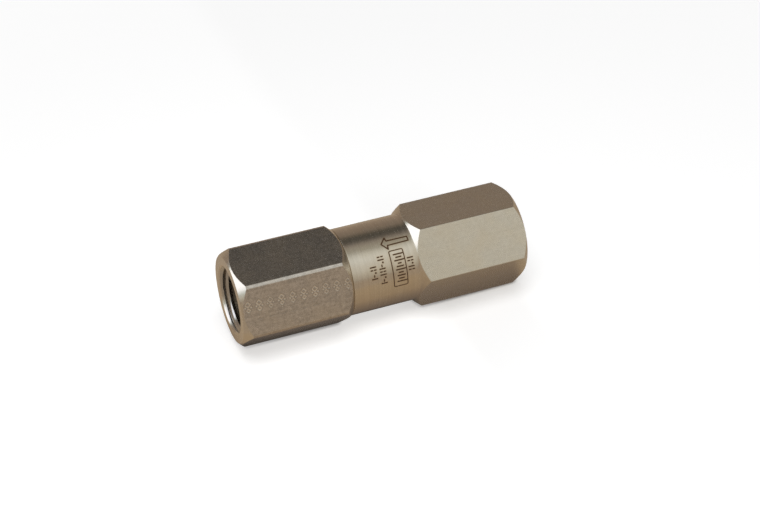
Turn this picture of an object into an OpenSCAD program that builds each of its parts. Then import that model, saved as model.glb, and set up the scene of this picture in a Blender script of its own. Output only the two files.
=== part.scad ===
// In-line poppet check valve with two female taper-thread ports.
// The flow axis is X. Fluid enters at -X and leaves at +X.
// The origin is on the flow axis, half-way between the two end faces. +Z is up,
// square to one flat of the inlet body's hexagon.
// Pipe threads and the joint thread are drawn as plain cylinders at the size
// of their walls.

/* [Envelope] */
// Length from the inlet face to the outlet face
overall_len = 62.7; // [61.5:0.1:66]
// Size across the flats of both hexagons
hex_af = 19.05; // [18.9:0.05:20.6]
// Length of the outlet cap, from its outer face to the joint
cap_len = 23.8; // [23.2:0.1:24.4]
// Length of the round neck between the two hexagons
neck_len = 14.4; // [13:0.1:15.6]
// Diameter of the round neck
neck_d = 18.4; // [17.6:0.1:18.8]
// Turn of the cap's hexagon from the body's hexagon, in degrees, set by how the joint thread tightens
cap_clock = 16.5; // [0:0.5:60]
// Diameter of the flat ring on each end face, where the chamfer starts
end_face_d = 18.4; // [17:0.1:18.8]
// Width of the broken edge on the neck beside the joint
joint_break = 0.3; // [0.1:0.05:0.4]

/* [Ports] */
// Diameter of the port's thread bore
port_d = 11.12; // [10.6:0.02:11.6]
// Depth of the port, from the end face to its floor
port_depth = 13.5; // [12.6:0.1:13.8]
// Diameter of the port's countersink at the end face
port_mouth_d = 14.6; // [13.8:0.1:15.2]

/* [Seat and chamber] */
// Diameter of the inlet orifice
orifice_d = 6.4; // [5.6:0.1:6.6]
// Position of the seat's lip along the flow axis
seat_x = -13; // [-13.4:0.1:-12.4]
// Width of the seat's lip
seat_lip_w = 0.6; // [0.4:0.05:0.75]
// Height of the seat's lip above the chamber floor
seat_lip_h = 0.6; // [0.3:0.05:1]
// Diameter of the poppet chamber
chamber_d = 10; // [9.9:0.05:10.2]

/* [Joint between body and cap] */
// Diameter of the bore in the cap that holds the o-ring
gland_d = 15.5; // [15.3:0.05:15.8]
// Diameter at the bottom of the o-ring groove on the spigot
groove_d = 12.4; // [12.1:0.05:12.6]
// Width of the o-ring groove
groove_w = 2.8; // [2.6:0.05:3]
// Diameter of the joint thread's wall in the cap
joint_thread_d = 13.44; // [13.2:0.02:13.8]
// Radial clearance of the plain and threaded joint surfaces
joint_gap = 0.05; // [0.03:0.01:0.1]
// Thickness of the web between the joint bore and the outlet port
web_t = 1.35; // [1:0.05:1.6]
// Diameter of the hole through the web
web_hole_d = 8; // [6.4:0.1:8.4]
// Width of the backup ring
backup_w = 0.8; // [0.6:0.05:0.9]

/* [Poppet] */
// Travel of the poppet from closed to open
lift = 2.5; // [1.5:0.1:3]
// Radial clearance of the poppet's skirt in the chamber
skirt_gap = 0.05; // [0.03:0.01:0.1]
// Length of the poppet from its sealing face to the end of its skirt
poppet_len = 14; // [13:0.1:14.5]
// Length of the guiding skirt
skirt_len = 8.6; // [7.4:0.1:8.8]
// Diameter of the poppet's front section
front_d = 8.4; // [8.2:0.1:8.6]
// Diameter of each cross hole in the poppet
cross_hole_d = 2.6; // [2:0.1:2.8]
// Number of cross holes
cross_holes = 4; // [3:1:4]
// Inner diameter of the sealing ring
seal_id = 5.1; // [4.8:0.1:5.2]
// Outer diameter of the sealing ring
seal_od = 8.2; // [7.9:0.1:8.2]
// Thickness of the sealing ring
seal_t = 1.15; // [0.9:0.05:1.3]

/* [Spring] */
// Diameter of the spring wire
wire_d = 0.45; // [0.35:0.05:0.5]
// Mean diameter of the spring's coils
coil_d = 6.7; // [6.5:0.1:6.8]
// Number of active coils
coils = 9; // [7:1:11]

/* [Hidden] */
$fn = 96;
eps = 0.01;

// Stations along X
in_x = -overall_len / 2;
out_x = overall_len / 2;
joint_x = out_x - cap_len;
neck_x = joint_x - neck_len;
corner_r = hex_af / sqrt(3);
face_r = end_face_d / 2;
neck_r = neck_d / 2;
cap_end_r = neck_r + 0.04;
out_floor_x = out_x - port_depth;
in_floor_x = in_x + port_depth;
shoulder_x = out_floor_x - web_t;

// Spigot on the inlet body
land_w = 0.75;
groove_x = joint_x + land_w;
land2_x = groove_x + groove_w;
gland_end_x = land2_x + 0.5;
stop_flange_t = 0.9;
spigot_x = shoulder_x - stop_flange_t;
land_r = gland_d / 2 - joint_gap;
thread_r = joint_thread_d / 2 - joint_gap;

// Poppet
skirt_r = chamber_d / 2 - skirt_gap;
poppet_end_x = seat_x + poppet_len;
skirt_x = poppet_end_x - skirt_len;
pocket_r = 3.85;
pocket_x = skirt_x + 0.6;
inner_r = 3;
head_t = 1.9;
rim_r = seal_od / 2 + 0.35;

// Poppet stop
stop_x = poppet_end_x + lift;
stop_r = chamber_d / 2 - 0.1;
stop_floor_x = spigot_x - 0.2;
stop_hole_r = 3;

// A round bar along X, from x0 to x1
module bar(x0, x1, r) {
    translate([x0, 0, 0]) rotate([0, 90, 0]) cylinder(h = x1 - x0, r = r);
}

// A cone along X, from radius r0 at x0 to radius r1 at x1
module taper(x0, x1, r0, r1) {
    translate([x0, 0, 0]) rotate([0, 90, 0]) cylinder(h = x1 - x0, r1 = r0, r2 = r1);
}

// A turned solid along X. Each point is [radius, x].
module turned(pts) {
    rotate([0, 90, 0]) rotate_extrude() polygon(pts);
}

// A hexagonal bar along X. At turn 0 a flat faces down.
module hex_bar(x0, x1, turn = 0) {
    translate([x0, 0, 0]) rotate([0, 90, 0]) rotate([0, 0, 30 - turn])
        cylinder(h = x1 - x0, r = corner_r, $fn = 6);
}

// A hexagonal bar with a 45 degree turned chamfer at each end.
// r0 and r1 are the radii at which the chamfers reach the end planes.
module chamfered_hex(x0, x1, r0, r1, turn = 0) {
    big = corner_r + 1;
    intersection() {
        hex_bar(x0, x1, turn);
        turned([[0, x0], [r0, x0], [big, x0 + big - r0],
                [big, x1 - big + r1], [r1, x1], [0, x1]]);
    }
}

// A female port: countersink, thread bore and drill point, open towards +X
module port_cut(face_x) {
    cs = (port_mouth_d - port_d) / 2;
    turned([[0, face_x - port_depth], [port_d / 2, face_x - port_depth],
            [port_d / 2, face_x - cs], [port_mouth_d / 2, face_x],
            [port_mouth_d / 2, face_x + 1], [0, face_x + 1]]);
}

module inlet_body() {
    color([0.66, 0.61, 0.54]) difference() {
        union() {
            chamfered_hex(in_x, neck_x, face_r, neck_r);
            turned([[0, neck_x - 1], [neck_r, neck_x - 1],
                    [neck_r, joint_x - joint_break], [neck_r - joint_break, joint_x],
                    [land_r, joint_x], [land_r, groove_x],
                    [groove_d / 2, groove_x], [groove_d / 2, land2_x],
                    [land_r, land2_x], [land_r, gland_end_x - 0.25], [land_r - 0.2, gland_end_x - 0.05],
                    [thread_r, gland_end_x - 0.05], [thread_r, spigot_x - 0.4],
                    [thread_r - 0.4, spigot_x], [0, spigot_x]]);
        }
        // inlet port
        mirror([1, 0, 0]) port_cut(out_x);
        // orifice, with a short cone on its inlet side
        bar(in_floor_x - 1, seat_x + 1, orifice_d / 2);
        taper(in_floor_x - eps, in_floor_x + 0.8, orifice_d / 2 + 0.8, orifice_d / 2);
        // poppet chamber around the seat's lip
        difference() {
            bar(seat_x - seat_lip_h, spigot_x + 1, chamber_d / 2);
            bar(seat_x - seat_lip_h - 1, seat_x, orifice_d / 2 + seat_lip_w);
        }
    }
}

module outlet_cap() {
    color([0.50, 0.44, 0.38]) difference() {
        chamfered_hex(joint_x, out_x, cap_end_r, face_r, cap_clock);
        port_cut(out_x);
        // o-ring gland, lead-in cone and joint thread wall
        bar(joint_x - 1, gland_end_x, gland_d / 2);
        taper(gland_end_x - eps, gland_end_x + (gland_d - joint_thread_d) / 4,
              joint_thread_d / 2 + (gland_d - joint_thread_d) / 4, joint_thread_d / 2);
        bar(gland_end_x - 1, shoulder_x, joint_thread_d / 2);
        // hole through the web
        bar(shoulder_x - 1, out_floor_x + 1, web_hole_d / 2);
    }
}

module poppet() {
    color([0.74, 0.73, 0.71]) difference() {
        turned([[0, seat_x - 1.2], [1.5, seat_x - 1.2], [seal_id / 2, seat_x],
                [rim_r - 0.15, seat_x + 0.05], [rim_r, seat_x + 0.2],
                [rim_r, seat_x + head_t - 0.3], [front_d / 2, seat_x + head_t],
                [front_d / 2, skirt_x], [skirt_r - 0.3, skirt_x], [skirt_r, skirt_x + 0.3],
                [skirt_r, poppet_end_x - 0.3], [skirt_r - 0.3, poppet_end_x],
                [0, poppet_end_x]]);
        // groove for the sealing ring
        difference() {
            bar(seat_x - 2, seat_x + seal_t, seal_od / 2);
            bar(seat_x - 3, seat_x + seal_t + 1, seal_id / 2);
        }
        // spring pocket, then the inner flow way
        bar(pocket_x, poppet_end_x + 1, pocket_r);
        bar(seat_x + head_t, pocket_x + 1, inner_r);
        // cross holes
        for (i = [0 : cross_holes - 1])
            translate([(seat_x + head_t + skirt_x) / 2, 0, 0])
                rotate([360 * i / cross_holes + 45, 0, 0]) cylinder(h = skirt_r + 1, d = cross_hole_d);
    }
}

module poppet_seal() {
    color([0.14, 0.13, 0.12]) rotate([0, 90, 0]) rotate_extrude()
        polygon([[seal_id / 2, seat_x], [seal_od / 2 - 0.15, seat_x], [seal_od / 2, seat_x + 0.15],
                 [seal_od / 2, seat_x + seal_t], [seal_id / 2, seat_x + seal_t]]);
}

// Points of a ring of wire around the coil's centre line at turn t, in turns.
// The first and last turns lie closed, with a smooth start to the pitch.
spring_x0 = pocket_x + wire_d / 2;
spring_x1 = stop_floor_x - wire_d / 2;
turns = coils + 2;
steps = 20;
sides = 8;
function ramp(u) = u <= 0 ? 0 : u >= 1 ? 1 : u * u * (3 - 2 * u);
function ramp_area(u) = u <= 0 ? 0 : u >= 1 ? u - 0.5 : u * u * u - u * u * u * u / 2;
closed = wire_d * 1.04;
function rise(t) = closed * t
    + (spring_x1 - spring_x0 - closed * turns) * (ramp_area((t - 0.7) / 0.6) * 0.6 - ramp_area((t - turns + 1.3) / 0.6) * 0.6)
      / (ramp_area((turns - 0.7) / 0.6) * 0.6 - ramp_area(1.3 / 0.6) * 0.6);
function ring(t) = [for (k = [0 : sides - 1])
    let (a = 360 * t, b = 360 * k / sides, r = coil_d / 2 + wire_d / 2 * cos(b))
    [spring_x0 + rise(t) + wire_d / 2 * sin(b), r * cos(a), r * sin(a)]];

module spring() {
    n = turns * steps;
    pts = [for (i = [0 : n]) each ring(i / steps)];
    walls = [for (i = [0 : n - 1], k = [0 : sides - 1])
        let (a = i * sides + k, b = i * sides + (k + 1) % sides)
        each [[a, b, b + sides], [a, b + sides, a + sides]]];
    cap0 = [for (k = [1 : sides - 2]) [0, k + 1, k]];
    cap1 = [for (k = [1 : sides - 2]) [n * sides, n * sides + k, n * sides + k + 1]];
    color([0.78, 0.78, 0.76]) polyhedron(points = pts, faces = concat(walls, cap0, cap1));
}

module poppet_stop() {
    color([0.70, 0.69, 0.66]) difference() {
        turned([[0, stop_x], [stop_r - 0.2, stop_x], [stop_r, stop_x + 0.2], [stop_r, spigot_x],
                [joint_thread_d / 2 - 0.15, spigot_x], [joint_thread_d / 2 - 0.15, shoulder_x],
                [0, shoulder_x]]);
        bar(stop_x - 1, stop_floor_x, pocket_r);
        bar(stop_floor_x - 1, shoulder_x + 1, stop_hole_r);
    }
}

// Static o-ring, squeezed between the groove and the cap's bore
module body_o_ring() {
    w = groove_w - backup_w;
    rr = (gland_d - groove_d) / 4;
    color([0.10, 0.10, 0.10]) rotate([0, 90, 0]) rotate_extrude()
        polygon([for (k = [0 : 23]) let (b = 15 * k)
            [(gland_d + groove_d) / 4 + (rr - 0.01) * cos(b),
             groove_x + backup_w + w / 2 + (w / 2 - 0.01) * sin(b)]]);
}

module backup_ring() {
    color([0.94, 0.94, 0.91]) turned([[groove_d / 2 + 0.01, groove_x], [gland_d / 2 - 0.01, groove_x],
            [gland_d / 2 - 0.01, groove_x + backup_w], [groove_d / 2 + 0.01, groove_x + backup_w]]);
}

inlet_body();
outlet_cap();
poppet();
poppet_seal();
spring();
poppet_stop();
body_o_ring();
backup_ring();
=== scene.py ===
# In-line poppet check valve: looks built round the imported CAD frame.
# Lengths below are in millimetres until a mesh is made; meshes are in metres.
import math
import bpy
import bmesh
import numpy as np
from mathutils import Matrix, Vector


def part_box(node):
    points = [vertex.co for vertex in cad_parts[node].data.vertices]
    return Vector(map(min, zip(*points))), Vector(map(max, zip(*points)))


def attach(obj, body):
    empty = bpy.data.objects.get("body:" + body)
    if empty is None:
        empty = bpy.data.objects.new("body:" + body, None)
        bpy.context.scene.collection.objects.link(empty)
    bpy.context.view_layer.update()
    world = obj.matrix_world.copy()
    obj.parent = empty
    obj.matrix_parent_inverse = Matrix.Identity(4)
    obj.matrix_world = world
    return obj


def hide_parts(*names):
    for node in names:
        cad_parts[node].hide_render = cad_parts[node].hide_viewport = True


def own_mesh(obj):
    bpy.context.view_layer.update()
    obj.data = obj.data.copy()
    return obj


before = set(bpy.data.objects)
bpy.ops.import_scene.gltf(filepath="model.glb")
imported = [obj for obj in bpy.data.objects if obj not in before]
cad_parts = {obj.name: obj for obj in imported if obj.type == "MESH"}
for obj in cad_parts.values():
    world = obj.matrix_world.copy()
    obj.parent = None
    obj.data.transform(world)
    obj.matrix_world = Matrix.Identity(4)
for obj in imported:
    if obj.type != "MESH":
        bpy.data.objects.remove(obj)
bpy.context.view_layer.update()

MM = 0.001


def span(node):
    """Ends of a CAD node along X, in mm."""
    lo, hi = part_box(node)
    return lo.x / MM, hi.x / MM


IN_X, SPIGOT_X = span("inlet_body")
JOINT_X, OUT_X = span("outlet_cap")
STOP_X, SHOULDER_X = span("poppet_stop")
NOSE_X, POPPET_END_X = span("poppet")
SEAT_X = span("poppet_seal")[0]
SPRING_X0, SPRING_X1 = span("spring")
BACKUP_X0, BACKUP_X1 = span("backup_ring")
GROOVE_END_X = span("body_o_ring")[1] + 0.01

AF = 19.05
BODY_RHO = 0.14              # rounding of the body's hexagon corners
CAP_BREAK = 0.33             # half width of the cap's broken hexagon corners
FACE_R = 9.2
INLET_FACE_R = 9.45
NECK_R = 9.23
NECK_X = JOINT_X - 14.5
MOUTH_R = 7.3
PORT_R = 5.56
PORT_DEPTH = 13.5
CHAMBER_R = 5.0
ORIFICE_R = 3.2
GLAND_R = 7.75
GROOVE_R = 6.2
LAND_R = 7.70
GLAND_END_X = GROOVE_END_X + 0.5
NPT_P = 25.4 / 18
JOINT_P = 25.4 / 24
CAP_TURN = 16.5

# ---------------------------------------------------------------- mesh tools


def smooth01(t):
    t = np.clip(t, 0, 1)
    return t * t * (3 - 2 * t)


def round_corner(p, q, r, radius, steps):
    """Points of a small arc replacing the corner q between p and r."""
    p, q, r = (np.array(v, float) for v in (p, q, r))
    u, v = (p - q) / np.linalg.norm(p - q), (r - q) / np.linalg.norm(r - q)
    turn = math.pi - math.acos(max(-1, min(1, float(u @ v))))
    t = radius * math.tan(turn / 2)
    a, c = q + u * t, q + v * t
    return [tuple((1 - k) ** 2 * a + 2 * k * (1 - k) * q + k * k * c) for k in np.linspace(0, 1, steps + 1)]


def hex_columns(turn, flats, rho=None, broken=None):
    """Angles (from +Z towards +Y, degrees) round a hexagon whose flats face turn + 60k, and the outline's radius there.
    flats[k] lists the stations across flat k, or says how many. Corners are rounded by rho, or broken by a narrow flat."""
    a = AF / 2
    apex = a / math.cos(math.radians(30))
    points = []
    for k in range(6):
        # this flat in its own axes: (t, a), t growing with the angle; its far corner at t = a tan 30
        corner = np.array([a * math.tan(math.radians(30)), a])
        along = np.array([math.cos(math.radians(60)), -math.sin(math.radians(60))])
        if broken:
            d = apex - broken / math.tan(math.radians(60))
            mid = corner / np.linalg.norm(corner) * d
            side = np.array([math.cos(math.radians(30)), -math.sin(math.radians(30))])
            q1, q2 = mid - side * broken, mid + side * broken
            arc = round_corner((0, a), q1, q2, 0.28, 3) + [tuple(mid)] + round_corner(q1, q2, corner + along * 3, 0.28, 3)
        else:
            arc = round_corner((0, a), corner, corner + along * 3, rho, 6)
        t1 = arc[0][0]
        ts = flats[k]
        if isinstance(ts, int):
            ts = np.linspace(-t1 + 0.25, t1 - 0.25, ts)
        ts = [v for v in ts if abs(v) < t1 - 0.12]
        row = [(-t1 + 0.06, a)] + [(v, a) for v in ts] + [(t1 - 0.06, a)] + arc
        for t, h in row:
            points.append((math.degrees(math.atan2(t, h)) + turn + 60 * k, math.hypot(t, h)))
    points = sorted((p[0] % 360.0, p[1]) for p in points)
    return np.array([p[0] for p in points]), np.array([p[1] for p in points])


def rings_from(corners, J):
    """Rings along a meridian with rounded corners.
    corners: (x, r, fillet, arc_steps, subdivisions to the next corner, support distance). x and r may be arrays over the J columns."""
    P = np.array([[np.broadcast_to(np.asarray(c[0], float), J), np.broadcast_to(np.asarray(c[1], float), J)] for c in corners])
    P = np.transpose(P, (0, 2, 1))
    n = len(corners)
    starts, ends, arcs = [], [], []
    for k in range(n):
        p, f, steps = P[k], corners[k][2], corners[k][3]
        if k in (0, n - 1) or f <= 0:
            starts.append(p), ends.append(p), arcs.append([p])
            continue
        u1, u2 = P[k - 1] - p, P[k + 1] - p
        l1, l2 = np.linalg.norm(u1, axis=1), np.linalg.norm(u2, axis=1)
        u1, u2 = u1 / l1[:, None], u2 / l2[:, None]
        turn = np.pi - np.arccos(np.clip((u1 * u2).sum(1), -1, 1))
        t = np.minimum(f * np.tan(turn / 2), np.minimum(l1, l2) * 0.42)
        a, c = p + u1 * t[:, None], p + u2 * t[:, None]
        arc = [(1 - s) ** 2 * a + 2 * s * (1 - s) * p + s * s * c for s in np.linspace(0, 1, steps + 1)]
        starts.append(a), ends.append(c), arcs.append(arc)
    out = []
    for k in range(n):
        out += arcs[k]
        if k == n - 1:
            break
        sub, sup = corners[k][4], corners[k][5]
        a, b = ends[k], starts[k + 1]
        L = np.linalg.norm(b - a, axis=1)[:, None]
        f = np.minimum(sup / np.maximum(L, 1e-9), 0.3) if sup else None
        if sup:
            out.append(a + (b - a) * f)
        for s in range(1, sub + 1):
            q = s / (sub + 1)
            out.append(a + (b - a) * (f + (1 - 2 * f) * q) if sup else a + (b - a) * q)
        if sup:
            out.append(b - (b - a) * f)
    return np.array(out)


def groove(u, crest=0.03, root=0.16):
    """0 on a thread's crest, 1 at its root, over one pitch; u is the phase in turns."""
    v = np.abs(2 * np.mod(u, 1.0) - 1)
    return np.clip((1 - crest - v) / (1 - crest - root), 0, 1)


def helical(angles, x_a, x_b, pitch, steps, radius, shift=0.0):
    """Rows of a right-hand screw thread from x_a to x_b. Each row follows the helix, so crests and roots are true edges.
    radius(x, phase) gives the wall; phase is 0 on a crest and 0.5 at a root, once shifted."""
    step = 1 if x_b > x_a else -1
    L = abs(x_b - x_a)
    frac = angles / 360.0
    # rows of equal phase, with a row on each side of every crest and root
    inner = np.append(np.linspace(0.015, 0.42, steps - 1), 0.47)
    per = np.concatenate([inner, 1 - inner[::-1]])
    lo = min(x_a, x_b) / pitch + shift - 1.2
    hi = max(x_a, x_b) / pitch + shift + 1.2
    phases = np.concatenate([k + per for k in range(math.floor(lo), math.ceil(hi) + 1)])
    if step < 0:
        phases = phases[::-1]
    out = []
    for i, u in enumerate(phases):
        x = (u - shift - frac) * pitch
        s = np.clip(step * (x - x_a), 0, L)
        if i == 0:
            s = np.zeros_like(s)
        if i == len(phases) - 1:
            s = np.full_like(s, L)
        x = x_a + step * s
        out.append(np.stack([x, radius(x, x / pitch + frac + shift)], 1))
    return np.array(out), (-len(per) if step > 0 else len(per))


class Solid:
    """A closed solid whose walls are rows of points round the X axis."""

    def __init__(self, name, angles):
        self.name, self.angles, self.sections = name, angles, []

    def add(self, rings, mat=0, shift=0):
        self.sections.append((np.asarray(rings, float), mat, shift))

    def last(self):
        return self.sections[-1][0][-1]

    def build(self, post=None, attribute=None):
        J = len(self.angles)
        si, co = np.sin(np.radians(self.angles)), np.cos(np.radians(self.angles))
        verts, faces, mats, base = [], [], [], 0
        jn = np.roll(np.arange(J), -1)
        for rings, mat, shift in self.sections:
            M = len(rings)
            x, r = rings[:, :, 0], rings[:, :, 1]
            pts = np.stack([x, r * si[None], r * co[None]], 2)
            verts.append(pts.reshape(-1, 3))
            for i in range(M - 1):
                for j in range(J):
                    k = jn[j]
                    if shift and j == J - 1:
                        if shift > 0:
                            b0, b1 = min(i + shift, M - 1), min(i + 1 + shift, M - 1)
                            q = (i * J + j, (i + 1) * J + j, b1 * J + k, b0 * J + k)
                        else:
                            a0, a1 = min(i - shift, M - 1), min(i + 1 - shift, M - 1)
                            q = (a0 * J + j, a1 * J + j, (i + 1) * J + k, i * J + k)
                    else:
                        q = (i * J + j, (i + 1) * J + j, (i + 1) * J + k, i * J + k)
                    faces.append([base + v for v in q])
                    mats.append(mat)
            base += M * J
        V = np.concatenate(verts)
        if post is not None:
            V = post(V)
        return mesh_object(self.name, V, faces, mats, attribute)


def mesh_object(name, V, faces, mats=None, attribute=None, sharp=32):
    me = bpy.data.meshes.new(name)
    bm = bmesh.new()
    layers = {}
    if attribute:
        for key, values in attribute(V).items():
            layers[bm.verts.layers.float.new(key)] = values
    made = [bm.verts.new(Vector(v) * MM) for v in V.tolist()]
    for layer, values in layers.items():
        for v, value in zip(made, values.tolist()):
            v[layer] = value
    bm.verts.ensure_lookup_table()
    for n, f in enumerate(faces):
        vs = []
        for i in f:
            if made[i] not in vs:
                vs.append(made[i])
        if len(vs) < 3:
            continue
        try:
            face = bm.faces.new(vs)
        except ValueError:
            continue
        face.smooth = True
        if mats:
            face.material_index = mats[n]
    bmesh.ops.remove_doubles(bm, verts=bm.verts[:], dist=2e-7)
    bmesh.ops.dissolve_degenerate(bm, edges=bm.edges[:], dist=1e-7)
    loose = [v for v in bm.verts if not v.link_faces]
    bmesh.ops.delete(bm, geom=loose, context="VERTS")
    bmesh.ops.recalc_face_normals(bm, faces=bm.faces[:])
    bm.to_mesh(me)
    bm.free()
    me.update()
    if sharp:
        me.set_sharp_from_angle(angle=math.radians(sharp))
    o = bpy.data.objects.new(name, me)
    bpy.context.scene.collection.objects.link(o)
    return o


def finish_piece(o, body, node, materials):
    for m in materials:
        o.data.materials.append(m)
    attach(o, body)
    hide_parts(node)
    return o


# ----------------------------------------------------- marks, as distances


def seg_dist(u, v, a, b):
    ax, ay, bx, by = a[0], a[1], b[0], b[1]
    px, py = u - ax, v - ay
    dx, dy = bx - ax, by - ay
    h = np.clip((px * dx + py * dy) / max(dx * dx + dy * dy, 1e-12), 0, 1)
    return np.hypot(px - h * dx, py - h * dy)


def poly_dist(u, v, pts, closed=True):
    d = np.full(u.shape, 9.0)
    n = len(pts)
    for i in range(n if closed else n - 1):
        d = np.minimum(d, seg_dist(u, v, pts[i], pts[(i + 1) % n]))
    return d


def round_rect(cx, cy, w, h, r, n=5):
    pts = []
    for sx, sy, a0 in ((1, 1, 0), (-1, 1, 90), (-1, -1, 180), (1, -1, 270)):
        for k in range(n + 1):
            a = math.radians(a0 + 90 * k / n)
            pts.append((cx + sx * (w / 2 - r) + r * math.cos(a), cy + sy * (h / 2 - r) + r * math.sin(a)))
    return pts


def laser_marks(s, w):
    """Distance, in mm, from the strokes burnt into the neck. s is the distance from the outlet face, w the arc length from the top of the neck towards +Y."""
    arc = lambda deg: NECK_R * math.radians(deg)
    c = arc(31.9)
    arrow = [(31.60, c + 0.06), (32.72, c - 1.26), (32.86, c - 0.47), (37.42, c - 0.44), (37.42, c + 0.48), (32.82, c + 0.56), (32.74, c + 1.38)]
    d = poly_dist(s, w, arrow) - 0.135
    # an empty plate with rounded corners
    mid = (arc(43.5) + arc(91.5)) / 2
    length = arc(91.5) - arc(43.5)
    d = np.minimum(d, poly_dist(s, w, round_rect(34.1, mid, 3.0, length, 0.30)) - 0.100)
    # a plain row of bars inside it, like the edge of a ruler
    y = arc(49.0)
    for half in (0.95, 0.55, 0.95, 0.30, 0.70, 0.95, 0.45, 0.80, 0.55, 0.95):
        d = np.minimum(d, seg_dist(s, w, (34.35 - half, y), (34.35 + half, y)) - 0.135)
        y += 0.64
    # three rows of ticks and dots in place of codes
    for s0, start, gap, marks in (
        (28.55, 58.5, 0.62, "|=.-|"),
        (30.50, 47.5, 0.62, "=|.-|=|.-|"),
        (36.72, 57.0, 0.62, "|=.|="),
    ):
        y = arc(start)
        for m in marks:
            if m == "|":
                d = np.minimum(d, seg_dist(s, w, (s0 - .58, y), (s0 + .58, y)) - 0.13)
            elif m == "-":
                d = np.minimum(d, seg_dist(s, w, (s0, y - .14), (s0, y + .20)) - 0.13)
            elif m == "=":
                d = np.minimum(d, seg_dist(s, w, (s0 - .56, y), (s0 - .18, y)) - 0.13)
                d = np.minimum(d, seg_dist(s, w, (s0 + .20, y), (s0 + .56, y)) - 0.13)
            else:
                d = np.minimum(d, np.hypot(s - s0 - .36, w - y) - 0.20)
            y += gap
    return d


def stamp_strokes(s, t):
    """Distances, in mm, from the stamped strokes on one flat of the cap: the deep ones and the faint ones. s is the
    distance from the outlet face, t the distance across the flat, from its middle."""
    deep, faint = np.full(s.shape, 9.0), np.full(s.shape, 9.0)
    rng = np.random.default_rng(11)
    for k in range(10):
        s0 = 1.40 + 2.36 * k
        t0 = -1.06 + rng.uniform(-.05, .05)
        push = rng.uniform(0, .035)
        # a diamond with a dot beside each lower edge, and a smaller diamond under it
        tip = ((s0, t0 - 1.30), (s0 + .56, t0 - .72), (s0, t0 - .16), (s0 - .56, t0 - .72))
        d = seg_dist(s, t, tip[3], tip[0])
        for i in range(3):
            d = np.minimum(d, seg_dist(s, t, tip[i], tip[i + 1]))
        for a in (-.62, .62):
            d = np.minimum(d, np.hypot(s - s0 - a, t - t0 + .12) - .07)
        tip = ((s0, t0 + .12), (s0 + .40, t0 + .52), (s0, t0 + .92), (s0 - .40, t0 + .52))
        d = np.minimum(d, seg_dist(s, t, tip[3], tip[0]))
        for i in range(3):
            d = np.minimum(d, seg_dist(s, t, tip[i], tip[i + 1]))
        deep = np.minimum(deep, d + push)
        f = np.minimum(np.hypot(s - s0 + .02, t - t0 - 1.30) - .05, np.hypot(s - s0 + .55, t - t0 - 1.72) - .04)
        if k not in (0, 8):
            f = np.minimum(f, seg_dist(s, t, (s0 - .55, t0 + 2.72), (s0 + .30, t0 + 2.66)))
        faint = np.minimum(faint, f + push)
    return deep, faint


def stamp_depth(s, t):
    """How far the flat is pressed in, in mm: a round-bottomed stroke with a low lip thrown up beside it."""
    depth = np.zeros_like(s)
    for d, h in zip(stamp_strokes(s, t), (0.042, 0.024)):
        cut = h * (1 - smooth01((d + 0.02) / 0.22))
        lip = -0.30 * h * np.exp(-((d - 0.27) / 0.09) ** 2)
        depth += np.where(cut > 1e-4, cut, lip)
    return depth


# ---------------------------------------------------------------- geometry


def port_wall(x_face, sign, angles, start):
    """Rings from a port's mouth inwards; sign is +1 for the outlet, -1 for the inlet. start is where, on the side
    facing +Z, the first root lies behind the face."""
    def radius(x, phase):
        s = sign * (x_face - x)
        crest = np.maximum(PORT_R, 5.70 - s / 32)
        root = 6.88 - s / 32
        fade = 1 - smooth01((s - 9.4) / 1.5)
        wall = crest + (root - crest) * groove(phase) * fade
        return np.maximum(wall, MOUTH_R - s)
    shift = 0.5 - (x_face - sign * start) / NPT_P
    return helical(angles, x_face - sign * 0.30, x_face - sign * 11.2, NPT_P, 9, radius, shift)


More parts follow.
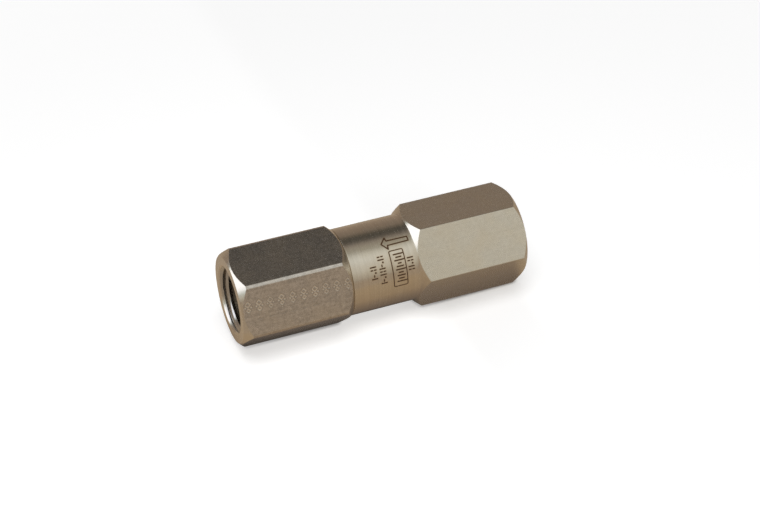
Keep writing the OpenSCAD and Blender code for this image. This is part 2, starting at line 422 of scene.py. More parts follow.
def make_cap():
    marked = np.concatenate([np.linspace(-3.75, 0.30, 58), np.linspace(0.42, 4.0, 26), [-4.6, -4.3, -4.0, 4.4]])
    angles, R = hex_columns(CAP_TURN, [9, np.sort(marked), 9, 9, 9, 9], broken=CAP_BREAK)
    J = len(angles)
    one = np.ones(J)
    s = Solid("outlet_cap_turned", angles)
    rc1 = R - FACE_R            # axial depth of the outer chamfer at each column
    end_r = NECK_R + 0.02
    rc2 = (R - end_r) * 1.12
    # mouth, end face, chamfer
    s.add(rings_from([
        (OUT_X - 0.30, MOUTH_R - 0.30, 0, 0, 1, 0),
        (OUT_X, MOUTH_R, 0.07, 3, 3, 0.05),
        (OUT_X, FACE_R, 0.12, 3, 3, 0.05),
        (OUT_X - rc1, R, 0.08, 3, 0, 0),
    ], J)[:-1], 0)
    # flats
    first = s.last()
    s.add(rings_from([
        (first[:, 0], first[:, 1], 0, 0, 0, 0),
        (OUT_X - rc1, R, 0.08, 3, 18, 0.05),
        (OUT_X - 2.2, R, 0, 0, 0, 0),
    ], J), 1)
    s.add(np.linspace(np.stack([one * (OUT_X - 2.2), R], 1), np.stack([one * (JOINT_X + 2.4), R], 1), 194), 1)
    s.add(rings_from([
        (JOINT_X + 2.4, R, 0, 0, 18, 0),
        (JOINT_X + rc2, R, 0.08, 3, 0, 0),
        (JOINT_X, end_r, 0, 0, 0, 0),
    ], J)[:-1], 1)
    first = s.last()
    s.add(rings_from([
        (first[:, 0], first[:, 1], 0, 0, 3, 0),
        (JOINT_X, end_r, 0.05, 2, 3, 0.03),
        (JOINT_X, GLAND_R, 0.08, 2, 6, 0.03),
        (GLAND_END_X, GLAND_R, 0.05, 2, 2, 0.03),
        (GLAND_END_X + 0.52, 7.24, 0, 0, 0, 0),
    ], J), 0)
    # joint thread
    def female(x, phase):
        fade = 1 - smooth01((x - (SHOULDER_X - 1.6)) / 0.6)
        wall = 6.60 + 0.57 * (1 - groove(phase)) * fade + 0.12 * (1 - fade)
        lead = 7.24 - (x - GLAND_END_X - 0.52)
        return np.maximum(wall, lead)
    rows, shift = helical(angles, GLAND_END_X + 0.52, SHOULDER_X - 0.9, JOINT_P, 5, female)
    first = rows[0][:, 1].copy()
    s.sections[-1][0][-1][:, 1] = first
    s.add(rows, 0, shift)
    tail = rows[-1][:, 1]
    s.add(rings_from([
        (SHOULDER_X - 0.9, tail, 0, 0, 1, 0),
        (SHOULDER_X, 6.72, 0.06, 2, 3, 0.03),
        (SHOULDER_X, 4.0, 0.15, 3, 2, 0.03),
        (OUT_X - PORT_DEPTH, 4.0, 0.15, 3, 3, 0.03),
        (OUT_X - PORT_DEPTH, PORT_R, 0.20, 3, 3, 0.03),
        (OUT_X - 11.2, PORT_R, 0, 0, 0, 0),
    ], J), 2)
    rows, shift = port_wall(OUT_X, 1, angles, 1.29)
    s.sections[-1][0][-1][:, 1] = rows[-1][:, 1]
    s.add(rows, 2, shift)
    first = rows[0][:, 1]
    s.sections[0][0][0][:, 1] = first

    def stamp(V):
        a = math.radians(CAP_TURN + 60)
        n = np.array([0, math.sin(a), math.cos(a)])
        e = np.array([0, math.cos(a), -math.sin(a)])
        h, t, st = V @ n, V @ e, OUT_X - V[:, 0]
        on = (np.abs(h - AF / 2) < 1e-3) & (st > 0.3) & (st < 23)
        # the marks fade out just before the chamfers, so no edge is bent
        edge = np.hypot(AF / 2, t)
        room = np.minimum(st - (edge - FACE_R), (OUT_X - JOINT_X - st) - (edge - NECK_R) * 1.12)
        d = np.zeros(len(V))
        d[on] = stamp_depth(st[on], t[on]) * smooth01((room[on] - 0.10) / 0.15)
        return V - d[:, None] * n[None]

    def stamped(V):
        a = math.radians(CAP_TURN + 60)
        n = np.array([0, math.sin(a), math.cos(a)])
        e = np.array([0, math.cos(a), -math.sin(a)])
        h, t, st = V @ n, V @ e, OUT_X - V[:, 0]
        edge = np.hypot(AF / 2, t)
        room = np.minimum(st - (edge - FACE_R), (OUT_X - JOINT_X - st) - (edge - NECK_R) * 1.12)
        on = (np.abs(h - AF / 2) < 0.08) & (np.abs(t) < 5.3) & (room > 0.12)
        d = np.full(len(V), 1.0)
        deep, faint = stamp_strokes(st[on], t[on])
        d[on] = np.clip(np.minimum(deep, faint + 0.07), -1, 1)
        return {"mark": d}
    return s.build(post=stamp, attribute=stamped)


def make_body():
    angles, R = hex_columns(0.0, [32, 62, 24, 9, 9, 9], rho=BODY_RHO)
    J = len(angles)
    one = np.ones(J)
    s = Solid("inlet_body_turned", angles)
    rc1 = R - INLET_FACE_R
    s.add(rings_from([
        (IN_X + 0.30, MOUTH_R - 0.30, 0, 0, 1, 0),
        (IN_X, MOUTH_R, 0.07, 3, 3, 0.05),
        (IN_X, INLET_FACE_R, 0.12, 3, 3, 0.05),
        (IN_X + rc1, R, 0, 0, 0, 0),
    ], J)[:-1], 0)
    rc2 = R - NECK_R
    # flats, with the rounded edges of both chamfers
    first = s.last()
    s.add(rings_from([
        (first[:, 0], first[:, 1], 0, 0, 0, 0),
        (IN_X + rc1, R, 0.10, 3, 26, 0.05),
        (NECK_X - rc2, R, 0.10, 3, 0, 0),
        (NECK_X, NECK_R, 0, 0, 0, 0),
    ], J)[:-1], 1)
    first = s.last()
    s.add(rings_from([
        (first[:, 0], first[:, 1], 0, 0, 4, 0),
        (NECK_X, NECK_R, 0.55, 6, 0, 0),
        (NECK_X + 0.6, NECK_R, 0, 0, 0, 0),
    ], J), 0)
    neck0, neck1 = NECK_X + 0.6, JOINT_X - 0.4
    s.add(np.linspace(np.stack([one * neck0, one * NECK_R], 1), np.stack([one * neck1, one * NECK_R], 1), 112), 3)
    s.add(rings_from([
        (neck1, NECK_R, 0, 0, 0, 0),
        (JOINT_X - 0.16, NECK_R, 0.05, 2, 2, 0.02),
        (JOINT_X - 0.02, NECK_R - 0.20, 0.03, 2, 2, 0.01),
        (JOINT_X - 0.01, LAND_R, 0.01, 2, 1, 0.01),
        (BACKUP_X0, LAND_R, 0.05, 2, 2, 0.03),
        (BACKUP_X0, GROOVE_R, 0.12, 3, 3, 0.03),
        (GROOVE_END_X, GROOVE_R, 0.12, 3, 2, 0.03),
        (GROOVE_END_X, LAND_R, 0.05, 2, 0, 0.03),
        (GLAND_END_X - 0.05, LAND_R - 0.10, 0.05, 2, 1, 0.03),
        (GLAND_END_X - 0.05, 6.55, 0, 0, 0, 0),
    ], J), 0)

    def male(x, phase):
        fade = smooth01((x - GLAND_END_X - 0.1) / 0.6)
        wall = 6.52 + 0.58 * (1 - groove(phase)) * fade
        tip = 6.35 + (SPIGOT_X - x)
        return np.minimum(wall, np.maximum(tip, 6.3))
    rows, shift = helical(angles, GLAND_END_X - 0.05, SPIGOT_X, JOINT_P, 5, male)
    s.sections[-1][0][-1][:, 1] = rows[0][:, 1]
    s.add(rows, 0, shift)
    s.add(rings_from([
        (SPIGOT_X, rows[-1][:, 1], 0, 0, 2, 0.03),
        (SPIGOT_X, CHAMBER_R, 0.12, 3, 20, 0.03),
        (SEAT_X - 0.6, CHAMBER_R, 0.15, 3, 2, 0.03),
        (SEAT_X - 0.6, ORIFICE_R + 0.6, 0.08, 3, 1, 0.03),
        (SEAT_X, ORIFICE_R + 0.6, 0.08, 3, 1, 0.03),
        (SEAT_X, ORIFICE_R, 0.08, 3, 2, 0.03),
        (IN_X + PORT_DEPTH + 0.8, ORIFICE_R, 0.3, 4, 2, 0.03),
        (IN_X + PORT_DEPTH, ORIFICE_R + 0.8, 0.1, 3, 2, 0.03),
        (IN_X + PORT_DEPTH, PORT_R, 0.20, 3, 3, 0.03),
        (IN_X + 11.2, PORT_R, 0, 0, 0, 0),
    ], J), 2)
    rows, shift = port_wall(IN_X, -1, angles, 1.29)
    s.sections[-1][0][-1][:, 1] = rows[-1][:, 1]
    s.add(rows, 2, shift)
    s.sections[0][0][0][:, 1] = rows[0][:, 1]

    def marks(V):
        r = np.hypot(V[:, 1], V[:, 2])
        on = (np.abs(r - NECK_R) < 0.02) & (V[:, 0] > NECK_X) & (V[:, 0] < JOINT_X)
        d = np.full(len(V), 1.0)
        w = NECK_R * np.arctan2(V[on, 1], V[on, 2])
        d[on] = np.clip(laser_marks(OUT_X - V[on, 0], w), -1, 1)
        return {"mark": d}
    return s.build(attribute=marks)


def lathe(name, corners, J=96, mat=0):
    """A turned ring: corners as for rings_from, closed on themselves."""
    angles = np.linspace(0, 360, J, endpoint=False)
    n = len(corners)
    # repeat the first corner so that the wall closes on a straight stretch
    c0, c1 = np.array(corners[0][:2], float), np.array(corners[1][:2], float)
    m = (c0 + c1) / 2
    loop = [(m[0], m[1], 0, 0, 1, 0)] + [tuple(c) for c in corners[1:]] + [tuple(corners[0])] + [(m[0], m[1], 0, 0, 0, 0)]
    s = Solid(name, angles)
    s.add(rings_from(loop, J), mat)
    return s.build()


def make_poppet():
    x = SEAT_X
    skirt_x = POPPET_END_X - 8.6
    pocket_x = skirt_x + 0.6
    angles = np.linspace(0, 360, 96, endpoint=False)
    s = Solid("poppet_turned", angles)
    s.add(rings_from([
        (NOSE_X, 0.0002, 0, 0, 3, 0),
        (NOSE_X, 1.5, 0.25, 5, 3, 0.03),
        (x + 0.0, 2.55, 0.08, 3, 0, 0.02),
        (x + 1.15, 2.55, 0.05, 2, 3, 0.03),
        (x + 1.15, 4.1, 0.05, 2, 1, 0.03),
        (x + 0.05, 4.1, 0.05, 2, 1, 0.02),
        (x + 0.05, 4.30, 0.05, 2, 0, 0.01),
        (x + 0.20, 4.45, 0.05, 2, 1, 0.03),
        (x + 1.6, 4.45, 0.08, 2, 1, 0.03),
        (x + 1.9, 4.2, 0.3, 4, 4, 0.03),
        (skirt_x, 4.2, 0.2, 4, 1, 0.03),
        (skirt_x, 4.65, 0.05, 2, 1, 0.03),
        (skirt_x + 0.3, 4.95, 0.08, 3, 8, 0.03),
        (POPPET_END_X - 0.3, 4.95, 0.08, 3, 1, 0.03),
        (POPPET_END_X - 0.01, 4.65, 0.06, 2, 1, 0.03),
        (POPPET_END_X - 0.01, 3.85, 0.10, 3, 8, 0.03),
        (pocket_x, 3.85, 0.06, 2, 1, 0.03),
        (pocket_x, 3.0, 0.08, 3, 3, 0.03),
        (x + 1.9, 3.0, 0.25, 4, 3, 0.03),
        (x + 1.9, 0.0002, 0, 0, 0, 0),
    ], 96), 0)
    o = s.build()
    # close the two centres
    me = o.data
    bm = bmesh.new()
    bm.from_mesh(me)
    bmesh.ops.remove_doubles(bm, verts=bm.verts[:], dist=5e-7)
    bmesh.ops.recalc_face_normals(bm, faces=bm.faces[:])
    bm.to_mesh(me)
    bm.free()
    # four cross holes, cut through the front section
    cutters = []
    for k in range(4):
        bpy.ops.mesh.primitive_cylinder_add(vertices=48, radius=1.3 * MM, depth=5 * MM)
        c = bpy.context.object
        a = math.radians(90 * k + 45)
        c.matrix_world = Matrix.Translation(((x + 1.9 + skirt_x) / 2 * MM, 4.0 * MM * math.sin(a), 4.0 * MM * math.cos(a))) @ Matrix.Rotation(-a, 4, "X")
        cutters.append(c)
        m = o.modifiers.new("hole", "BOOLEAN")
        m.operation, m.solver, m.object = "DIFFERENCE", "EXACT", c
    bpy.context.view_layer.update()
    done = bpy.data.meshes.new_from_object(o.evaluated_get(bpy.context.evaluated_depsgraph_get()))
    o.modifiers.clear()
    o.data = done
    for c in cutters:
        bpy.data.objects.remove(c)
    for p in done.polygons:
        p.use_smooth = True
    done.set_sharp_from_angle(angle=math.radians(32))
    return o


def make_seal():
    x = SEAT_X
    return lathe("poppet_seal_moulded", [
        (x, 2.57, 0.10, 4, 3, 0.04),
        (x, 4.06, 0.16, 5, 1, 0.04),
        (x + 1.14, 4.09, 0.06, 3, 3, 0.04),
        (x + 1.14, 2.57, 0.06, 3, 1, 0.04),
    ])


def make_stop():
    return lathe("poppet_stop_turned", [
        (STOP_X, 3.85, 0.08, 3, 2, 0.03),
        (STOP_X, 4.90, 0.20, 4, 12, 0.04),
        (SPIGOT_X, 4.90, 0.06, 3, 1, 0.03),
        (SPIGOT_X, 6.55, 0.10, 3, 1, 0.03),
        (SHOULDER_X, 6.55, 0.10, 3, 3, 0.03),
        (SHOULDER_X, 3.0, 0.12, 3, 2, 0.03),
        (SPIGOT_X - 0.2, 3.0, 0.12, 3, 2, 0.03),
        (SPIGOT_X - 0.2, 3.85, 0.10, 3, 12, 0.03),
    ])


def make_o_ring():
    angles = np.linspace(0, 360, 120, endpoint=False)
    mid_x, half_w = (BACKUP_X1 + GROOVE_END_X) / 2, (GROOVE_END_X - BACKUP_X1) / 2 - 0.012
    mid_r, half_r = (GLAND_R + GROOVE_R) / 2, (GLAND_R - GROOVE_R) / 2 - 0.012
    rings = []
    for k in range(41):
        b = 2 * math.pi * k / 40
        # a squeezed ring: flattened where it bears on the two walls
        cx, cr = math.sin(b), math.cos(b)
        q = (abs(cx) ** 2.6 + abs(cr) ** 2.6) ** (-1 / 2.6)
        rings.append(np.stack([np.full(120, mid_x + half_w * cx * q * 0.985), np.full(120, mid_r + half_r * cr * q)], 1))
    s = Solid("o_ring_moulded", angles)
    s.add(rings, 0)
    return s.build(attribute=None)


def make_backup():
    return lathe("backup_ring_turned", [
        (BACKUP_X0 + 0.005, GROOVE_R + 0.012, 0.05, 2, 2, 0.03),
        (BACKUP_X0 + 0.005, GLAND_R - 0.012, 0.05, 2, 1, 0.03),
        (BACKUP_X1 - 0.005, GLAND_R - 0.012, 0.05, 2, 2, 0.03),
        (BACKUP_X1 - 0.005, GROOVE_R + 0.012, 0.05, 2, 1, 0.03),
    ])


def make_spring():
    """Helical spring of round wire with closed, ground ends."""
    wire, mean, active = 0.225, 3.35, 9
    turns, steps, sides = active + 2, 40, 14
    x0, x1 = SPRING_X0 + 0.11, SPRING_X1 - 0.11
    closed = 2 * wire * 1.03

    def area(u):
        return np.where(u <= 0, 0, np.where(u >= 1, u - 0.5, u ** 3 - u ** 4 / 2))

    def rise(t):
        g = lambda t: 0.6 * area((t - 0.7) / 0.6) - 0.6 * area((t - turns + 1.3) / 0.6)
        return closed * t + (x1 - x0 - closed * turns) * g(t) / g(np.array(float(turns)))
    n = turns * steps
    V, faces = [], []
    for i in range(n + 1):
        t = i / steps
        a = 2 * math.pi * t
        for k in range(sides):
            b = 2 * math.pi * k / sides
            r = mean + wire * math.cos(b)
            x = float(x0 + rise(np.array(t))) + wire * math.sin(b)
            x = min(max(x, SPRING_X0), SPRING_X1)
            V.append((x, r * math.cos(a), r * math.sin(a)))
    for i in range(n):
        for k in range(sides):
            q = (k + 1) % sides
            faces.append((i * sides + k, i * sides + q, (i + 1) * sides + q, (i + 1) * sides + k))
    faces.append(tuple(range(sides))[::-1])
    faces.append(tuple(n * sides + k for k in range(sides)))
    return mesh_object("coil_spring", np.array(V), faces, sharp=50)


# --------------------------------------------------------------- materials


class Nodes:
    def __init__(self, tree):
        self.t = tree
        tree.nodes.clear()

    def new(self, kind, _values=None, **settings):
        n = self.t.nodes.new(kind)
        for k, v in settings.items():
            setattr(n, k, v)
        for k, v in (_values or {}).items():
            if hasattr(v, "is_output") or isinstance(v, bpy.types.NodeSocket):
                self.t.links.new(v, n.inputs[k])
            else:
                n.inputs[k].default_value = v
        return n

    def math(self, op, a, b=0.0, c=None, clamp=False):
        values = {0: a, 1: b}
        if c is not None:
            values[2] = c
        return self.new("ShaderNodeMath", values, operation=op, use_clamp=clamp).outputs[0]

    def ramp(self, fac, stops, mode="LINEAR"):
        n = self.new("ShaderNodeValToRGB", {"Fac": fac})
        n.color_ramp.interpolation = mode
        els = n.color_ramp.elements
        while len(els) > 1:
            els.remove(els[-1])
        els[0].position, els[0].color = stops[0][0], (*stops[0][1], 1) if len(stops[0][1]) == 3 else stops[0][1]
        for p, c in stops[1:]:
            e = els.new(p)
            e.color = (*c, 1) if len(c) == 3 else c
        return n.outputs["Color"]

    def mapped(self, scale, vector):
        return self.new("ShaderNodeMapping", {"Vector": vector, "Scale": scale}).outputs[0]

    def noise(self, vector, scale, detail=2.0, rough=0.5):
        return self.new("ShaderNodeTexNoise", {"Vector": vector, "Scale": scale, "Detail": detail, "Roughness": rough}).outputs["Fac"]

    def span(self, value, a, b, c, d, kind="LINEAR"):
        return self.new("ShaderNodeMapRange", {"Value": value, "From Min": a, "From Max": b, "To Min": c, "To Max": d}, interpolation_type=kind).outputs["Result"]

    def mix(self, fac, a, b):
        n = self.new("ShaderNodeMix", data_type="RGBA")
        for i, v in ((0, fac), (6, a), (7, b)):
            if isinstance(v, bpy.types.NodeSocket):
                self.t.links.new(v, n.inputs[i])
            else:
                n.inputs[i].default_value = v if i == 0 else (*v, 1)
        return n.outputs[2]


def material(name):
    m = bpy.data.materials.new(name)
    m.use_nodes = True
    return m, Nodes(m.node_tree)


def steel_flat(name, tint, rough, grain=1.0, stamped=False):
    """Cold-drawn hexagon bar: a fine matte grain with faint lines along the bar."""
    m, n = material(name)
    obj = n.new("ShaderNodeTexCoord").outputs["Object"]
    mm = n.mapped((1000, 1000, 1000), obj)
    fine = n.noise(mm, 5.5, 3, 0.65)
    mid = n.noise(mm, 1.5, 3, 0.6)
    wide = n.noise(mm, 0.22, 2, 0.5)
    lines = n.noise(n.mapped((90, 5200, 5200), obj), 1.0, 3, 0.6)
    a = n.math("MULTIPLY_ADD", fine, 0.45, n.math("MULTIPLY", mid, 0.35))
    a = n.math("ADD", a, n.math("MULTIPLY", lines, 0.2))
    dark = tuple(c * (1 - 0.22 * grain) for c in tint)
    light = tuple(min(1, c * (1 + 0.16 * grain)) for c in tint)
    colour = n.ramp(a, [(0.34, dark), (0.66, light)])
    warm = n.mix(n.span(wide, 0.35, 0.65, 0, 0.35), colour, tuple(c * k for c, k in zip(tint, (1.02, 0.95, 0.84))))
    if stamped:
        # painted highlight in the strokes and painted shade just beside them, set in the base colour so they read the
        # same from any side
        d = n.new("ShaderNodeAttribute", attribute_name="mark").outputs["Fac"]
        inside = n.span(d, 0.03, 0.13, 1.0, 0.0, "SMOOTHSTEP")
        beside = n.math("MULTIPLY", n.span(d, 0.10, 0.20, 0.0, 1.0, "SMOOTHSTEP"), n.span(d, 0.22, 0.42, 1.0, 0.0, "SMOOTHSTEP"))
        warm = n.mix(n.math("MULTIPLY", inside, 0.80), warm, tuple(min(1, c * k) for c, k in zip(tint, (1.50, 1.48, 1.40))))
        warm = n.mix(n.math("MULTIPLY", beside, 0.50), warm, tuple(c * 0.64 for c in tint))
    r = n.math("ADD", n.span(fine, 0.3, 0.7, rough - 0.05, rough + 0.06), n.span(wide, 0.3, 0.7, -0.02, 0.03))
    h = n.math("ADD", n.math("MULTIPLY", fine, 0.6), n.math("MULTIPLY", lines, 0.4))
    bump = n.new("ShaderNodeBump", {"Strength": 0.35, "Distance": 0.00002, "Height": h}).outputs[0]
    p = n.new("ShaderNodeBsdfPrincipled", {"Base Color": warm, "Metallic": 1.0, "Roughness": r, "Normal": bump})
    n.new("ShaderNodeOutputMaterial", {"Surface": p.outputs[0]})
    return m


def steel_turned(name, tint, rough, marked=False, lines_k=1.0, bump_k=1.0):
    """Lathe-turned steel: fine rings round the flow axis."""
    m, n = material(name)
    obj = n.new("ShaderNodeTexCoord").outputs["Object"]
    mm = n.mapped((1000, 1000, 1000), obj)
    xyz = n.new("ShaderNodeSeparateXYZ", {"Vector": obj})
    # lines depend on the station along the axis and on the radius, so end faces carry rings too
    yy = n.math("MULTIPLY", xyz.outputs[1], xyz.outputs[1])
    radius = n.math("SQRT", n.math("MULTIPLY_ADD", xyz.outputs[2], xyz.outputs[2], yy))
    station = n.math("ADD", xyz.outputs[0], radius)
    along = n.math("MULTIPLY", station, 1000.0)
    turn = n.new("ShaderNodeCombineXYZ", {"X": along, "Y": n.math("MULTIPLY", xyz.outputs[1], 40.0), "Z": n.math("MULTIPLY", xyz.outputs[2], 40.0)}).outputs[0]
    fine = n.noise(n.mapped((11 * lines_k, 1, 1), turn), 1.0, 3, 0.7)
    feed = n.noise(n.mapped((2.6 * lines_k, 1, 1), turn), 1.0, 2, 0.5)
    spots = n.noise(mm, 2.4, 3, 0.6)
    wide = n.noise(mm, 0.25, 2, 0.5)
    a = n.math("MULTIPLY_ADD", fine, 0.5, n.math("MULTIPLY_ADD", feed, 0.3, n.math("MULTIPLY", spots, 0.2)))
    colour = n.ramp(a, [(0.36, tuple(c * 0.88 for c in tint)), (0.64, tuple(min(1, c * 1.09) for c in tint))])
    colour = n.mix(n.span(wide, 0.35, 0.65, 0, 0.3), colour, tuple(c * k for c, k in zip(tint, (1.02, 0.95, 0.84))))
    r = n.math("ADD", n.span(fine, 0.3, 0.7, rough - 0.05, rough + 0.07), n.span(spots, 0.3, 0.7, -0.02, 0.03))
    h = n.math("MULTIPLY_ADD", fine, 0.75, n.math("MULTIPLY", feed, 0.25))
    bump = n.new("ShaderNodeBump", {"Strength": 0.30 * bump_k, "Distance": 0.00002, "Height": h}).outputs[0]
    values = {"Metallic": 1.0, "Normal": bump}
    if marked:
        d = n.new("ShaderNodeAttribute", attribute_name="mark").outputs["Fac"]
        ragged = n.math("MULTIPLY_ADD", n.math("SUBTRACT", n.noise(mm, 9.0, 2, 0.6), 0.5), 0.06, d)
        burn = n.span(ragged, -0.02, 0.06, 1.0, 0.0, "SMOOTHSTEP")
        tone = n.mix(n.noise(mm, 3.0, 2, 0.5), (0.050, 0.024, 0.010), (0.115, 0.058, 0.024))
        colour = n.mix(burn, colour, tone)
        halo = n.span(d, 0.0, 0.28, 0.35, 0.0, "SMOOTHSTEP")
        colour = n.mix(n.math("MULTIPLY", halo, n.math("SUBTRACT", 1.0, burn)), colour, tuple(c * k for c, k in zip(tint, (0.98, 0.80, 0.58))))
        r = n.math("ADD", r, n.math("MULTIPLY", burn, 0.22))
        values["Metallic"] = n.math("SUBTRACT", 1.0, n.math("MULTIPLY", burn, 0.55))
    p = n.new("ShaderNodeBsdfPrincipled", {"Base Color": colour, "Roughness": r, **values})
    n.new("ShaderNodeOutputMaterial", {"Surface": p.outputs[0]})
    return m


def rubber(name):
    m, n = material(name)
    mm = n.mapped((1000, 1000, 1000), n.new("ShaderNodeTexCoord").outputs["Object"])
    fine, wide = n.noise(mm, 9, 3, 0.6), n.noise(mm, 0.8, 2, 0.5)
    colour = n.ramp(n.math("MULTIPLY_ADD", fine, 0.5, n.math("MULTIPLY", wide, 0.5)), [(0.35, (0.022, 0.019, 0.017)), (0.65, (0.052, 0.045, 0.040))])
    bump = n.new("ShaderNodeBump", {"Strength": 0.25, "Distance": 0.00003, "Height": fine}).outputs[0]
    p = n.new("ShaderNodeBsdfPrincipled", {"Base Color": colour, "Roughness": n.span(fine, 0.3, 0.7, 0.42, 0.58), "Normal": bump})
    n.new("ShaderNodeOutputMaterial", {"Surface": p.outputs[0]})
    return m


def ptfe(name):
    m, n = material(name)
    mm = n.mapped((1000, 1000, 1000), n.new("ShaderNodeTexCoord").outputs["Object"])
    fine = n.noise(mm, 4, 3, 0.6)
    colour = n.ramp(fine, [(0.3, (0.78, 0.78, 0.74)), (0.7, (0.90, 0.90, 0.87))])
    bump = n.new("ShaderNodeBump", {"Strength": 0.2, "Distance": 0.00002, "Height": fine}).outputs[0]
    p = n.new("ShaderNodeBsdfPrincipled", {"Base Color": colour, "Roughness": n.span(fine, 0.3, 0.7, 0.38, 0.5), "Normal": bump, "Subsurface Weight": 0.1, "Subsurface Scale": 0.0005})
    n.new("ShaderNodeOutputMaterial", {"Surface": p.outputs[0]})
    return m


BODY_TINT = (0.66, 0.60, 0.51)
CAP_TINT = (0.64, 0.575, 0.485)
cap_flat = steel_flat("steel_drawn_cap", (0.585, 0.543, 0.500), 0.25, 2.1, stamped=True)
body_flat = steel_flat("steel_drawn_body", (0.650, 0.605, 0.525), 0.25, 0.75)
turned = steel_turned("steel_turned_faces", BODY_TINT, 0.20)
# painted shade: the bores and threads get a darker tint than the outside, to darken the ports
bore_painted_shade = steel_turned("steel_bored_painted_shade", (0.50, 0.47, 0.43), 0.20, bump_k=0.5)
neck = steel_turned("steel_turned_neck", BODY_TINT, 0.17, marked=True)
bright = steel_turned("steel_turned_bright", (0.70, 0.68, 0.65), 0.20)
wire = steel_turned("steel_spring_wire", (0.68, 0.66, 0.62), 0.22, lines_k=0.6)
black_rubber = rubber("rubber_moulded")
white_ptfe = ptfe("ptfe_turned")

# ------------------------------------------------------------------ pieces

finish_piece(make_body(), "housing", "inlet_body", [turned, body_flat, bore_painted_shade, neck])
finish_piece(make_cap(), "housing", "outlet_cap", [turned, cap_flat, bore_painted_shade])
finish_piece(make_poppet(), "poppet", "poppet", [bright])
finish_piece(make_seal(), "poppet", "poppet_seal", [black_rubber])
finish_piece(make_stop(), "housing", "poppet_stop", [bright])
finish_piece(make_o_ring(), "housing", "body_o_ring", [black_rubber])
finish_piece(make_backup(), "housing", "backup_ring", [white_ptfe])
coil = finish_piece(make_spring(), "housing", "spring", [wire])
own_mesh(coil)

# ------------------------------------------------------------------- stage

scene = bpy.context.scene
scene.view_settings.view_transform = "Standard"

# The valve lies on the cap's lowest corner and the far edge of the body's lower flat.
cap_angles, cap_outline = hex_columns(CAP_TURN, [3] * 6, broken=CAP_BREAK)
drops = -cap_outline * np.cos(np.radians(cap_angles))
low = int(np.argmax(drops))
corner_z = -float(drops[low])
inner_x = JOINT_X + float(cap_outline[low]) - NECK_R
far_x = IN_X + 0.9
slope = (-AF / 2 - corner_z) / (far_x - inner_x)


def floor_z(x):
    return corner_z + slope * (x - inner_x)


half = 3000.0
V = [(x, y, floor_z(x) - 0.01) for x, y in ((-half, -half), (half, -half), (half, half), (-half, half))]
floor = mesh_object("floor", np.array(V), [(0, 1, 2, 3)], sharp=None)
m, n = material("floor_pale")
glossy = n.new("ShaderNodeLightPath").outputs["Is Glossy Ray"]
along = n.new("ShaderNodeSeparateXYZ", {"Vector": n.new("ShaderNodeTexCoord").outputs["Object"]}).outputs[0]
# painted shade: the paper is darker on the body's side of the valve (x below -4 mm)
painted_shade_paper = n.span(along, -0.014, -0.004, 0.775, 0.822, "SMOOTHSTEP")
plain = n.new("ShaderNodeBsdfDiffuse", {"Color": n.new("ShaderNodeCombineXYZ", {"X": painted_shade_paper, "Y": painted_shade_paper, "Z": painted_shade_paper}).outputs[0]}).outputs[0]
# painted shadow: the glow is dimmed where ambient occlusion finds the valve close by, lowered beside the body and
# raised beside the cap and past the body's end, fading out by 55 mm from the middle
open_sky = n.new("ShaderNodeAmbientOcclusion", {"Distance": 0.0008}, samples=12).outputs["AO"]
reach = n.new("ShaderNodeVectorMath", {0: n.new("ShaderNodeTexCoord").outputs["Object"]}, operation="LENGTH").outputs["Value"]
painted_shade_lean = n.math("ADD", n.span(along, -0.014, -0.004, -0.075, 0.055), n.span(along, -0.034, -0.028, 0.11, 0.0))
painted_shade_lean = n.math("MULTIPLY", painted_shade_lean, n.span(reach, 0.031, 0.055, 1.0, 0.0))
contact_shadow_glow = n.span(open_sky, 0.10, 0.85, 0.10, 0.52)
glow = n.new("ShaderNodeEmission", {"Color": (1, 1, 1, 1), "Strength": n.math("ADD", n.math("ADD", contact_shadow_glow, painted_shade_lean), n.span(reach, 0.10, 0.60, 0.0, 0.48, "SMOOTHSTEP"))}).outputs[0]
pale = n.new("ShaderNodeAddShader", {0: plain, 1: glow}).outputs[0]
# polished metal sees a warm table top with a painted shadow: its emitted tone is dark close to the valve
place = n.new("ShaderNodeSeparateXYZ", {"Vector": n.new("ShaderNodeTexCoord").outputs["Object"]})
beyond = n.math("MULTIPLY", n.math("MAXIMUM", n.math("SUBTRACT", n.math("ABSOLUTE", place.outputs[0]), 0.0305), 0.0), 6.0)
beside = n.math("ABSOLUTE", place.outputs[1])
painted_shadow_distance = n.math("SQRT", n.math("MULTIPLY_ADD", beyond, beyond, n.math("MULTIPLY", beside, beside)))
# painted shadow: the tone ramps from near black under the valve to warm tan further away
tone = n.ramp(n.math("MULTIPLY", painted_shadow_distance, 20.0), [
    (0.000, (0.018, 0.015, 0.012)), (0.050, (0.040, 0.033, 0.027)), (0.070, (0.082, 0.066, 0.054)), (0.088, (0.125, 0.100, 0.080)),
    (0.110, (0.172, 0.133, 0.104)), (0.160, (0.238, 0.184, 0.142)), (0.200, (0.290, 0.222, 0.165)), (0.280, (0.400, 0.305, 0.208)),
    (0.480, (0.448, 0.350, 0.240)), (0.860, (0.458, 0.362, 0.255)), (1.0, (0.430, 0.350, 0.268))])
warm = n.new("ShaderNodeEmission", {"Color": tone, "Strength": 1.0}).outputs[0]
both = n.new("ShaderNodeMixShader", {0: glossy, 1: pale, 2: warm}).outputs[0]
under = n.new("ShaderNodeNewGeometry").outputs["Backfacing"]
clear = n.new("ShaderNodeBsdfTransparent").outputs[0]
sheet = n.new("ShaderNodeMixShader", {0: under, 1: both, 2: clear}).outputs[0]
n.new("ShaderNodeOutputMaterial", {"Surface": sheet})
floor.data.materials.append(m)

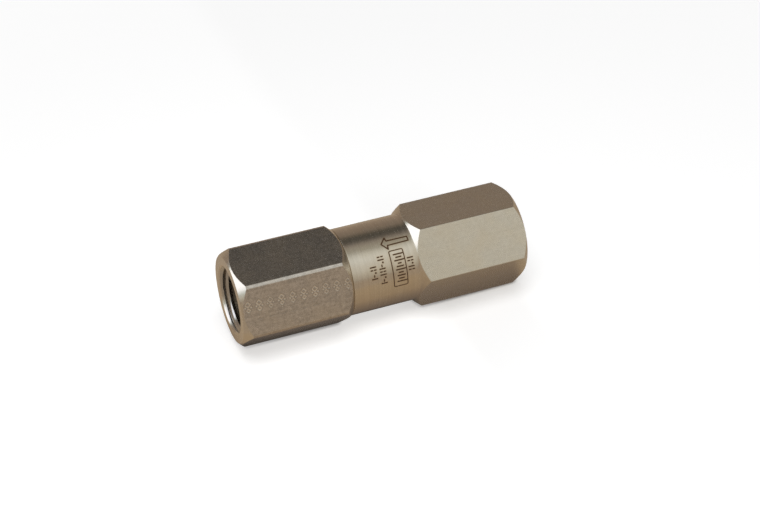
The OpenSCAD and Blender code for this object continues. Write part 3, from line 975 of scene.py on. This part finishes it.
# Soft studio surroundings. Metal sees long soft boxes along the front and one at the outlet side;
# everything else sees an even white dome.
world = bpy.data.worlds.new("studio")
scene.world = world
world.use_nodes = True
world.cycles.sampling_method = "NONE"
w = Nodes(world.node_tree)
direction = w.new("ShaderNodeTexCoord").outputs["Generated"]
xyz = w.new("ShaderNodeSeparateXYZ", {"Vector": direction})
X, Y, Z = xyz.outputs
ang = w.math("ARCTAN2", Y, Z)
pos = w.math("MULTIPLY_ADD", ang, 1 / (2 * math.pi), 0.5)


def stop(deg, *c):
    return ((deg + 180) / 360, c)


wander = w.math("MULTIPLY", w.math("SUBTRACT", w.noise(direction, 2.2, 2, 0.5), 0.5), 0.035)
# the boxes' edges lie a little askew to the flow axis, so turning marks break them into streaks
askew = w.math("MINIMUM", w.math("MAXIMUM", w.math("MULTIPLY", w.math("ADD", X, 0.29), 0.12), -0.014), 0.014)
box_light = w.ramp(w.math("ADD", w.math("ADD", pos, wander), askew), [
    stop(-180, .40, .33, .26), stop(-92, .38, .30, .235), stop(-75, .340, .274, .220), stop(-58, .290, .235, .194), stop(-45, .262, .218, .182),
    stop(-35, .138, .122, .102), stop(-28, .094, .089, .078), stop(-18, .098, .093, .084), stop(-10, .185, .165, .150), stop(-3, .350, .315, .285),
    stop(5, .400, .380, .330), stop(14, .430, .425, .375), stop(21, .660, .665, .620), stop(30, .800, .820, .790), stop(38, .850, .865, .840),
    stop(46, .780, .785, .745), stop(56, .735, .720, .665), stop(66, .700, .685, .625), stop(77, .570, .530, .450), stop(86, .460, .410, .345),
    stop(91, .300, .250, .205), stop(96, .430, .350, .270), stop(180, .40, .33, .26),
])


def band(v, a, b, c, d):
    up = w.span(v, a, b, 0.0, 1.0, "SMOOTHSTEP")
    down = w.span(v, c, d, 1.0, 0.0, "SMOOTHSTEP")
    return w.math("MULTIPLY", up, down)


side = w.math("MULTIPLY", band(Y, -0.66, -0.50, 0.10, 0.25), band(Z, 0.10, 0.26, 0.70, 0.85))
side = w.math("MULTIPLY", side, w.span(X, 0.30, 0.50, 0.0, 1.0, "SMOOTHSTEP"))
side_colour = w.ramp(side, [(0.0, (0.24, 0.31, 0.29)), (0.22, (0.40, 0.52, 0.50)), (0.50, (0.86, 0.98, 0.98)), (1.0, (1.75, 1.85, 2.10))])
studio = w.mix(w.span(side, 0.0, 0.30, 0.0, 1.0), box_light, side_colour)
is_glossy = w.new("ShaderNodeLightPath").outputs["Is Glossy Ray"]
lit = w.mix(is_glossy, (0.16, 0.16, 0.16), studio)
seen = w.mix(w.new("ShaderNodeLightPath").outputs["Is Camera Ray"], lit, (0.98, 0.98, 0.98))
bg = w.new("ShaderNodeBackground", {"Color": seen, "Strength": 1.0})
w.new("ShaderNodeOutputWorld", {"Surface": bg.outputs[0]})


def area(name, loc, target, size, watts):
    d = bpy.data.lights.new(name, "AREA")
    d.shape, d.size, d.energy = "DISK", size, watts
    o = bpy.data.objects.new(name, d)
    scene.collection.objects.link(o)
    o.location = Vector(loc)
    o.rotation_euler = (Vector(target) - Vector(loc)).to_track_quat("-Z", "Y").to_euler()
    o.visible_glossy = False
    return o


area("key_soft", (0.05, 0.135, 0.45), (0, 0, 0), 0.42, 1.46)

# ------------------------------------------------------------------ camera

# From the photo: front of the outlet, above, with a slight roll.
position = Vector((102.33963, 277.94516, 197.94967))
back = Vector((0.29122346, 0.77811344, 0.55653244))
right2 = Vector((-0.92840069, 0.37021722, -0.03180215))
up2 = Vector((-0.23078357, -0.50742357, 0.830217))
cam = bpy.data.cameras.new("camera")
cam.sensor_width = 36.0
cam.lens = 1704.7 * 36.0 / 760.0
cam.clip_start, cam.clip_end = 0.01, 10.0
cam_obj = bpy.data.objects.new("camera", cam)
scene.collection.objects.link(cam_obj)
cam_obj.matrix_world = Matrix((
    (right2.x, up2.x, back.x, position.x * MM),
    (right2.y, up2.y, back.y, position.y * MM),
    (right2.z, up2.z, back.z, position.z * MM),
    (0, 0, 0, 1),
))
scene.camera = cam_obj
